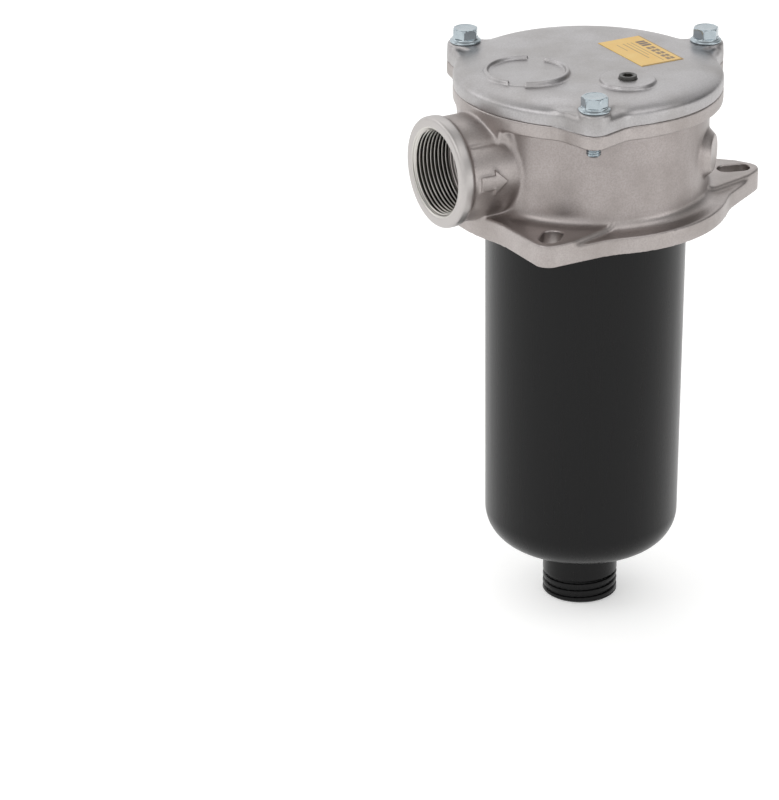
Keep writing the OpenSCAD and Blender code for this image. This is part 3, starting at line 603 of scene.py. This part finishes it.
def inlet_thread():
    """The port's pipe thread, with 11 threads to the inch, cut through a chamfer at the mouth.

    Its crests keep the light colour and its grooves are painted dark as painted shade, which an attribute
    tells the finish.
    """
    pitch, root_r, crest_r, run, step = 25.4 / 11, 23.85, 22.4, 23.5, 0.15
    line = [(root_r + 1.2, 0.0)]
    line += [(root_r, k * step) for k in range(1, int(run / step) + 1)]
    line += [(root_r + 1.2, run)]

    def ridges(radius, angle, depth):
        fade = np.clip((run - depth) / 2.0, 0, 1)
        rise = whitworth(depth / pitch + angle / (2 * math.pi)) * (root_r - crest_r) * fade
        chamfer = 24.25 - depth
        cut = np.maximum(root_r - rise, chamfer)
        return np.where(radius <= root_r, cut, np.maximum(radius, chamfer))

    turn = Matrix.Translation((PORT_REACH - 0.05, 0, PORT_Z)) @ Matrix.Rotation(-math.pi / 2, 4, "Y")
    made = turned("inlet_thread", line, THREAD_FINISH, 160, ridges, turn,
                  loop=True, sharp=60)
    points = np.array([v.co for v in made.data.vertices]) / MM
    from_axis = np.hypot(points[:, 1], points[:, 2] - PORT_Z)
    depth = PORT_REACH - points[:, 0]
    # Painted shade: 0 in the grooves, which the finish paints dark; 1 on the crests and in the first 1.7 mm of
    # the mouth.
    painted_thread_light = np.clip((root_r - 0.55 - from_axis) / 0.6, 0, 1)
    painted_thread_light = np.maximum(painted_thread_light, np.clip((1.7 - depth) / 0.5, 0, 1))
    mark_points(made.data, "painted_thread_light", painted_thread_light)
    return made


def grid_rim(rows, columns):
    """Numbers of the points round the edge of a grid."""
    rim = [i * columns for i in range(rows)] + [(rows - 1) * columns + k for k in range(1, columns)]
    rim += [i * columns + columns - 1 for i in range(rows - 2, -1, -1)]
    return rim + list(range(columns - 2, 0, -1))


def flow_arrow():
    """Raised arrow on the neck that points the oil's way into the head."""
    tip_x, head_l, shaft_end = 67.7, 7.3, 83.5
    head_w, shaft_w, proud, ease = 7.0, 4.0, 1.3, 0.4
    stations = [(tip_x, 0.15), (tip_x + 0.6, head_w * 0.6 / head_l + 0.1)]
    stations += [(tip_x + head_l * t, head_w * t) for t in (0.25, 0.5, 0.75, 0.97)]
    stations += [(tip_x + head_l, head_w - 0.2), (tip_x + head_l + 0.02, shaft_w)]
    stations += [(tip_x + head_l + 2.2 * k, shaft_w) for k in (1, 2, 3)]
    stations += [(shaft_end - 0.3, shaft_w), (shaft_end, shaft_w - 0.3)]
    across = np.linspace(-1, 1, 13)
    points = []
    for level, inset in ((-0.6, 0.0), (proud - ease, 0.0), (proud, ease)):
        for x, half in stations:
            x_in = min(max(x, tip_x + inset), shaft_end - inset)
            for s in across:
                v = s * max(half - inset, 0.05)
                r = NECK_R + level
                points.append((x_in, r * math.cos(v / NECK_R), PORT_Z + r * math.sin(v / NECK_R)))
    n, m = len(stations), len(across)
    faces = []
    for i in range(n - 1):
        for k in range(m - 1):
            top, low = 2 * n * m + i * m + k, i * m + k
            faces.append((top, top + 1, top + m + 1, top + m))
            faces.append((low, low + m, low + m + 1, low + 1))
    rim = grid_rim(n, m)
    for level in (0, 1):
        for k, first in enumerate(rim):
            second = rim[(k + 1) % len(rim)]
            base, rise = level * n * m, n * m
            faces.append((base + first, base + second, base + second + rise, base + first + rise))
    return piece("flow_arrow", points, faces, HEAD_FINISH, sharp=55)


def hexagon(angle, apothem):
    """Radius of a hexagon's side at each angle."""
    sector = math.pi / 3
    return apothem / np.cos((angle + sector / 2) % sector - sector / 2)


def cover_bolt(index):
    """Flange bolt, M8 by 25: chamfered hexagon on a washer face, and a thread down to its tip."""
    flats, height, washer_r, length, pitch = 12.7, 8.0, 8.5, 25.0, 1.25
    half = flats / 2
    corner = half / math.cos(math.pi / 6)
    shank = [(4.0, LUG_TOP_Z - length + 0.18 * k) for k in range(int(17 / 0.18))]
    line = [(0.05, LUG_TOP_Z - length), (2.9, LUG_TOP_Z - length)] + shank
    line += [(4.0, LUG_TOP_Z), (washer_r - 0.4, LUG_TOP_Z)]
    head = eased([(washer_r - 0.4, 0, 0), (washer_r, 0.3, 0.3), (washer_r, 1.1, 0.4),
                  (washer_r - 1.3, 1.9, 0.3), (7.05, 2.6, 0.7), (corner + 0.2, 3.6, 0),
                  (corner + 0.2, 6.9, 0), (corner - 0.5, 7.5, 0), (half - 0.3, height - 0.05, 0.5),
                  (half - 1.0, height, 0.3), (half - 1.3, height - 0.25, 0.3), (0.05, height - 0.3, 0)], 3)[1:]
    line += [(r, LUG_TOP_Z + z) for r, z in head]

    def form(radius, angle, z):
        side_r = hexagon(angle, half)
        above = z - LUG_TOP_Z
        hexed = np.where(above > 2.55, np.minimum(radius, np.minimum(side_r, corner - 0.12)), radius)
        turnwise = (z - (LUG_TOP_Z - length)) / pitch - angle / (2 * math.pi)
        tip = np.clip((z - LUG_TOP_Z + length) / 1.2, 0, 1)
        cut = (1 - whitworth(turnwise)) * 0.6
        threaded = np.minimum(radius - cut, 2.9 + 1.1 * tip)
        return np.where((z < LUG_TOP_Z - 7.9) & (radius > 3.5), threaded, hexed)

    a = math.radians(BOLT_ANGLES[index])
    turn = Matrix.Translation((BOLT_CIRCLE_R * math.cos(a), BOLT_CIRCLE_R * math.sin(a), 0))
    turn = turn @ Matrix.Rotation(a + math.radians(BOLT_TURNS[index]), 4, "Z")
    made = turned(f"flange_bolt_{index + 1}", line, ZINC_FINISH, 96, form, turn, sharp=28)
    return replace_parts(made, f"cover_bolt_{index + 1}")


def gauge_plug():
    """Screw plug with a hexagon socket, in the boss where a clogging gauge would go."""
    top, r, half = 85.1, 4.8, 2.6
    line = eased([(0.05, 75.9, 0), (r - 0.6, 75.9, 0.3), (r, 76.8, 0.2), (r, top - 0.1, 0.35),
                  (r - 0.7, top, 0.2), (3.55, top, 0.2), (3.3, top - 0.35, 0), (3.3, top - 4.0, 0),
                  (0.05, top - 4.4, 0)], 3)

    def socket(radius, angle, z):
        inside = (radius <= 3.31) & (radius > 2) & (z > top - 4.2)
        return np.where(inside, np.minimum(hexagon(angle, half), 2.95), radius)

    turn = Matrix.Translation((0, BOSS_OFFSET, 0))
    made = turned("screw_plug", line, PLUG_FINISH, 96, socket, turn, sharp=35)
    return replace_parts(made, "gauge_plug")


def bowl():
    """Moulded bowl: hung by its lip, drawn down to a round corner, with a coarse thread on its spigot."""
    pitch, depth, spigot_r, end = 4.15, 1.0, 20.85, SPIGOT_END_Z
    corner_r, corner_z, outer_round, inner_round = 33.65, -179.0, 20, 17
    outer = eased([(56.3, 9.5, 0), (54.75, 9.5, 0.8), (54.75, 8.0, 0), (corner_r + outer_round, corner_z, 0)])
    corner = [(corner_r + outer_round * math.cos(a), corner_z - outer_round * math.sin(a))
              for a in np.linspace(0.04, math.pi / 2, 28)]
    collar = eased([(26.6, BOWL_BOTTOM_Z, 0), (25.85, BOWL_BOTTOM_Z, 0.5), (25.85, -201.5, 0.5),
                    (22.85, -201.5, 0.4), (22.85, -204.0, 0.5), (spigot_r, -204.0, 0.5),
                    (spigot_r, -206, 0)])
    thread = [(spigot_r, z) for z in np.arange(-216.0, end + 1.25, -0.12)]
    mouth = eased([(spigot_r, end + 1.2, 0), (spigot_r - 0.3, end + 0.9, 0.3), (spigot_r - 1.4, end, 0.3),
                   (16.8, end, 0.3), (16.5, end + 0.3, 0.2), (16.5, -213.8, 0.2), (17.3, -213.8, 0.2),
                   (17.3, -196.3, 0.3), (17.9, -196.0, 0), (corner_r, -196.0, 0)])
    inside = [(corner_r + inner_round * math.cos(a), corner_z - inner_round * math.sin(a))
              for a in np.linspace(math.pi / 2, 0, 18)[1:]]
    lip = eased([(51.75, 9.0, 0), (51.75, 13.5, 0.8), (59.5, 13.5, 0.6), (59.5, 9.5, 0.6)])
    line = outer + corner + collar + thread + mouth + inside + lip

    def groove(radius, angle, z):
        phase = (z - (end + 3.7)) / pitch - angle / (2 * math.pi)
        off = np.abs(phase - np.round(phase)) * pitch
        window = np.clip((-218.0 - z) / 1.5, 0, 1) * np.clip((z - end - 1.2) / 1.0, 0, 1)
        floor_part = soft_step((1.05 - off) / 0.35)
        land = 0.16 * np.clip((off - 0.7) / 1.4, 0, 1) ** 2
        cut = (depth * floor_part + 0.16 - land) * window
        return np.where((radius > 19.5) & (radius < 20.9), radius - cut, radius)

    made = turned("moulded_bowl", line, BOWL_FINISH, 192, groove, loop=True, sharp=35)
    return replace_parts(made, "bowl")


# Printed bars of the label: from and to across its width, from and to along its length, and ink tone.
INK_BARS = [
    (-12.9, -12.2, -22.2, 22.2, 0.75),
    (-12.9, 12.9, 21.6, 22.2, 0.75),
    (-10.6, -5.0, -14.0, -5.5, 0.9),
    (-10.6, -5.0, -11.6, -11.0, 0.0),
    (-10.6, -5.0, -8.6, -8.0, 0.0),
    (-9.8, -5.0, -3.2, 0.2, 0.8),
    (-9.8, -5.0, 1.6, 5.0, 0.8),
    (-9.8, -5.0, 6.4, 9.8, 0.8),
    (-9.8, -5.0, 11.2, 14.6, 0.8),
    (-9.8, -5.0, 16.0, 19.4, 0.8),
    (-7.8, -7.2, -3.2, 19.4, 0.25),
    (-2.9, -2.2, -14.0, 19.4, 0.55),
    (-0.4, 0.3, -14.0, 8.0, 0.5),
    (2.1, 2.8, -14.0, 12.5, 0.5),
    (6.0, 6.7, -14.0, -3.0, 0.5),
]


def label():
    """Foil label on the cover, printed with a frame, a block of three bars and rows of bars."""
    wide, long, thick, cell, turn = 26.3, 44.8, 0.3, 0.2, math.radians(-1.2)
    us = np.linspace(-wide / 2, wide / 2, int(wide / cell) + 1)
    vs = np.linspace(-long / 2, long / 2, int(long / cell) + 1)
    u, v = np.meshgrid(us, vs, indexing="ij")
    n, m = u.shape
    x = u * math.cos(turn) - v * math.sin(turn) - 33.2
    y = u * math.sin(turn) + v * math.cos(turn)
    edge = np.minimum(wide / 2 - np.abs(u), long / 2 - np.abs(v))
    rise = np.where(edge > 0.15, thick, thick * 0.55)
    top = np.stack([x, y, PLATEAU_Z + rise], -1).reshape(-1, 3)
    low = np.stack([x, y, PLATEAU_Z + 0.02 + 0 * u], -1).reshape(-1, 3)
    i, k = np.meshgrid(np.arange(n - 1), np.arange(m - 1), indexing="ij")
    a = (i * m + k).ravel()
    faces = np.stack([a, a + m, a + m + 1, a + 1], 1).tolist()
    rim = grid_rim(n, m)
    base = n * m
    faces += [(first, rim[(j + 1) % len(rim)], rim[(j + 1) % len(rim)] + base, first + base)
              for j, first in enumerate(rim)]
    faces.append([base + j for j in rim[::-1]])
    ink = np.zeros_like(u)
    for left, right, low_v, high_v, tone in INK_BARS:
        ink = np.where((u >= left) & (u <= right) & (v >= low_v) & (v <= high_v), tone, ink)
    made = piece("label_foil", np.concatenate([top, low]), faces, LABEL_FINISH, sharp=25)
    mark_points(made.data, "ink", np.concatenate([ink.ravel(), 0 * ink.ravel()]))
    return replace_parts(made, "label")


def swept(name, path, radius, finish, body="filter", sides=14):
    """A round wire along a path of points, with its ends capped."""
    path = np.asarray(path, float)
    ahead = np.gradient(path, axis=0)
    ahead /= np.linalg.norm(ahead, axis=1)[:, None]
    outward = path * (1, 1, 0)
    outward /= np.linalg.norm(outward, axis=1)[:, None]
    upward = np.cross(outward, ahead)
    turn = np.linspace(0, 2 * math.pi, sides, endpoint=False)
    rings = (path[:, None] + radius * (np.cos(turn)[None, :, None] * outward[:, None]
                                       + np.sin(turn)[None, :, None] * upward[:, None]))
    return piece(name, rings.reshape(-1, 3), skin_faces(len(path), sides), finish, body, 60)


def coil_path(mean_r, wire, low, height, turns, steps=48):
    """Centre line of a spring whose first and last turns lie flat."""
    path = []
    for i in range(turns * steps + 1):
        t = i / steps
        if t < 1:
            rise = t * wire
        elif t > turns - 1:
            rise = height - wire - (turns - t) * wire
        else:
            rise = wire + (height - 3 * wire) * (t - 1) / (turns - 2)
        a = 2 * math.pi * t
        path.append((mean_r * math.cos(a), mean_r * math.sin(a), low + wire / 2 + rise))
    return path


inlet_thread()
flow_arrow()
for bolt_index in range(3):
    cover_bolt(bolt_index)
gauge_plug()
bowl()
label()

hold_spring = swept("hold_down_coil", coil_path(18.0, 2.5, 11.2, 64.4, 8), 1.25, WIRE_FINISH)
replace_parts(hold_spring, "hold_down_spring")
bypass_coil = swept("bypass_coil", coil_path(8.5, 1.2, -20.8, 25.4, 7), 0.6, WIRE_FINISH)
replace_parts(bypass_coil, "bypass_spring")
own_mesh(bypass_coil)


# Stage: pale floor and soft studio light.
TABLE_GLOW = 0.36
# Sides of the room: azimuth from the camera to its right, elevation, strength.
ROOM_SIDES = [(0, 5, 0.95), (-166, 5, 1.0), (-90, 5, 0.3), (90, 5, 0.15), (0, 90, 0.42)]
# Soft lights: azimuth, elevation, width, height, watts.
SOFTBOXES = [(-100, 25, 0.9, 0.9, 2.5), (-55, 38, 0.9, 0.9, 3.0), (68, 6, 0.9, 0.5, 1.6),
             (64, 55, 0.9, 0.9, 2.3), (180, 60, 0.9, 0.9, 1.0)]


def stage():
    """A wide light table that the spigot's end stands on."""
    floor_finish, tree, surface, place = new_finish("matt_white_sweep", "#F4F4F3", 0.0, 0.85)
    surface.inputs["Emission Color"].default_value = shade("#FFFFFF")
    surface.inputs["Emission Strength"].default_value = TABLE_GLOW
    haze = add(tree, "TexNoise", Vector=place, Scale=2.0, Detail=1.0)
    tree.links.new(blend(tree, haze.outputs[0], "#F6F6F5", "#F1F1F0"), surface.inputs["Base Color"])
    z = SPIGOT_END_Z * MM - 0.0002
    mesh = bpy.data.meshes.new("floor")
    reach = 12.0
    mesh.from_pydata([(-reach, -reach, z), (reach, -reach, z), (reach, reach, z), (-reach, reach, z)], [],
                     [(0, 1, 2, 3)])
    mesh.materials.append(floor_finish)
    place_in_scene("floor", mesh)


def direction(azimuth, elevation):
    """A level heading counted from the camera, to its right, and lifted by the elevation."""
    back = camera_axes @ Vector((0, 0, 1))
    heading = math.atan2(back.y, back.x) + math.radians(azimuth)
    lift = math.radians(elevation)
    return Vector((math.cos(heading) * math.cos(lift), math.sin(heading) * math.cos(lift), math.sin(lift)))


def softbox(name, azimuth, elevation, wide, high, watts):
    """A square area light, 1.6 m from the object's middle and facing it."""
    away = direction(azimuth, elevation)
    data = bpy.data.lights.new(name, "AREA")
    data.shape = "RECTANGLE"
    data.size, data.size_y = wide, high
    data.energy = watts
    lamp = bpy.data.objects.new(name, data)
    lamp.location = Vector((0, 0, -60)) * MM + away * 1.6
    lamp.rotation_mode = "QUATERNION"
    lamp.rotation_quaternion = away.to_track_quat("Z", "Y")
    scene.collection.objects.link(lamp)


def studio():
    """A white room, each of whose sides glows by itself, and soft lights."""
    world = bpy.data.worlds.new("studio")
    scene.world = world
    world.use_nodes = True
    tree = world.node_tree
    tree.nodes.clear()
    way = add(tree, "TexCoord").outputs["Generated"]
    total = 0.0
    for azimuth, elevation, strength in ROOM_SIDES:
        side = direction(azimuth, elevation)
        facing = add(tree, "VectorMath", {"operation": "DOT_PRODUCT"}, _0=way, _1=side)
        glow = add(tree, "MapRange", {"interpolation_type": "SMOOTHSTEP"}, Value=facing.outputs["Value"],
                   From_Min=0.1, From_Max=1.0, To_Min=0.0, To_Max=strength)
        total = add(tree, "Math", _0=total, _1=glow.outputs[0]).outputs[0]
    room = add(tree, "Background", Color=shade("#FFFFFF"), Strength=total)
    add(tree, "OutputWorld", Surface=room.outputs[0])
    for number, box in enumerate(SOFTBOXES):
        softbox(f"softbox_{number + 1}", *box)


stage()
studio()
